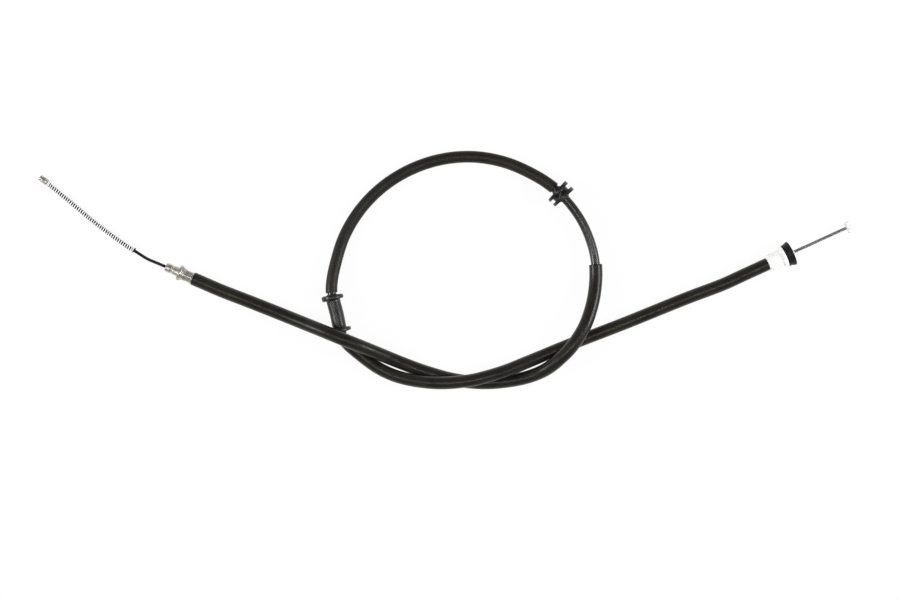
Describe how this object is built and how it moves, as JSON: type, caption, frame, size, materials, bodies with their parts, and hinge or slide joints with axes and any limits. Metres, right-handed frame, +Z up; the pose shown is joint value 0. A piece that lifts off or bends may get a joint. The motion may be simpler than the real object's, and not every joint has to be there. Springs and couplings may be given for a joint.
{
  "type": "parking brake cable",
  "caption": "Sheathed parking brake cable with return spring, crimped ferrule, rubber sleeves, two grommets and a sealed bush, lying in a loose overhand knot.",
  "frame": {"origin": "under the middle of the whole cable, on the surface that it lies on", "axes": "+X towards the wheel end, along the cable's longest reach; +Y towards the far side of the loop; +Z up, along the shortest extent"},
  "size_m": [0.8137, 0.2377, 0.0348],
  "materials": {
    "plated_steel": "zinc plated, satin",
    "spring_steel": "bright plated wire",
    "coated_strand": "black coated steel strand",
    "casing_plastic": "black plastic over a wound steel conduit",
    "sleeve_rubber": "smooth black hose with a dull sheen",
    "grommet_rubber": "matt black moulded rubber",
    "white_nylon": "natural white nylon",
    "seal_rubber": "matt black moulded rubber"
  },
  "bodies": {
    "casing_assembly": {"lever_ferrule": "plated_steel", "casing": "casing_plastic", "inner_cable_middle": "coated_strand", "sleeve_lever_side": "sleeve_rubber", "short_grommet": "grommet_rubber", "sleeve_loop": "sleeve_rubber", "long_grommet": "grommet_rubber", "sleeve_wheel_side": "sleeve_rubber", "wheel_bush": "white_nylon", "wheel_seal": "seal_rubber", "liner_snout": "white_nylon"},
    "lever_end": {"lever_nipple": "plated_steel", "return_spring": "spring_steel", "inner_cable_lever_end": "coated_strand"},
    "wheel_end": {"inner_cable_wheel_end": "coated_strand", "wheel_barrel": "plated_steel"}
  },
  "joints": [
    {"name": "lever_end_slide", "type": "slide", "parent": "casing_assembly", "child": "lever_end", "axis": [-0.9184, 0.3955, 0], "range_m": [-0.018, 0.036]},
    {"name": "wheel_end_slide", "type": "slide", "parent": "casing_assembly", "child": "wheel_end", "axis": [0.9092, 0.4163, 0], "range_m": [-0.036, 0.018]}
  ],
  "couplings": [
    {"joint": "wheel_end_slide", "follows": "lever_end_slide", "ratio": -1}
  ]
}
